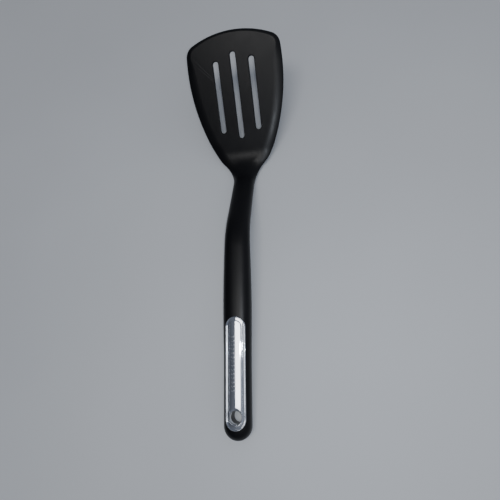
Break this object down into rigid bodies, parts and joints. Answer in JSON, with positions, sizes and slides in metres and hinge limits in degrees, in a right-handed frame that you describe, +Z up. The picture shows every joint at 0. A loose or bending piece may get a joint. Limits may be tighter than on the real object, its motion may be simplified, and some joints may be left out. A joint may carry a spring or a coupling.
{
  "type": "slotted turner",
  "caption": "Long-handled slotted turner: thin fan-shaped blade on a cranked neck, and a handle with a plated inlay and a hanging hole.",
  "frame": {"origin": "centre of the bounding box on the plane that the turner lies on, between its butt and its front edge", "axes": "+Y from the butt towards the front edge of the blade, +Z up, away from the surface it lies on and out of the plated side of the handle, +X to the right. X = 0 is the plane of symmetry."},
  "size_m": [0.0844, 0.3262, 0.0618],
  "materials": {
    "black_nylon": "satin moulded nylon",
    "chrome_plating": "bright chrome plating on ABS"
  },
  "bodies": {
    "root": {"turner_body": "black_nylon", "handle_inlay": "chrome_plating"}
  },
  "joints": []
}
